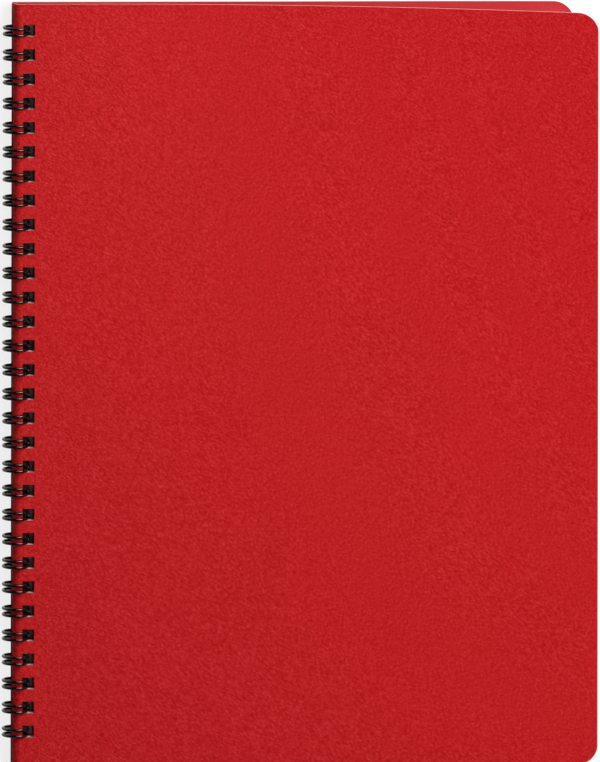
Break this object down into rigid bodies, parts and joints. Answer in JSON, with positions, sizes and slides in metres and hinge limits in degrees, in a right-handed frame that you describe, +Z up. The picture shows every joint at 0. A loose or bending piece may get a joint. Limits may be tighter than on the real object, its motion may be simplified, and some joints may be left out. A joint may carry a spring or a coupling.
{
  "type": "spiral notebook",
  "caption": "Notebook bound with twin-loop wire, with a curling leatherette front cover, a back cover and a block of pages.",
  "frame": {"origin": "on the surface it lies on, under the middle of the notebook's outline, its curled front cover included", "axes": "+X from the spine to the free side, +Y from the notebook's foot to its head, +Z up from the surface through the front cover"},
  "size_m": [0.2064, 0.2666, 0.028],
  "materials": {
    "front_cover": "grained leatherette on card, half matt",
    "back_cover": "grained leatherette on card, half matt",
    "pages": "matt uncoated paper",
    "wire": "glossy black nylon coating on steel wire"
  },
  "bodies": {
    "pages": {"page_block": "pages", "binding_wire": "wire"},
    "front": {"front_cover": "front_cover"},
    "back": {"back_cover": "back_cover"}
  },
  "joints": [
    {"name": "front_cover_turn", "type": "hinge", "parent": "pages", "child": "front", "pos_m": [-0.09845, 0, 0.00475], "axis": [0, -1, 0], "range_deg": [0, 180]},
    {"name": "back_cover_turn", "type": "hinge", "parent": "pages", "child": "back", "pos_m": [-0.09845, 0, 0.00475], "axis": [0, -1, 0], "range_deg": [-180, 0]}
  ]
}
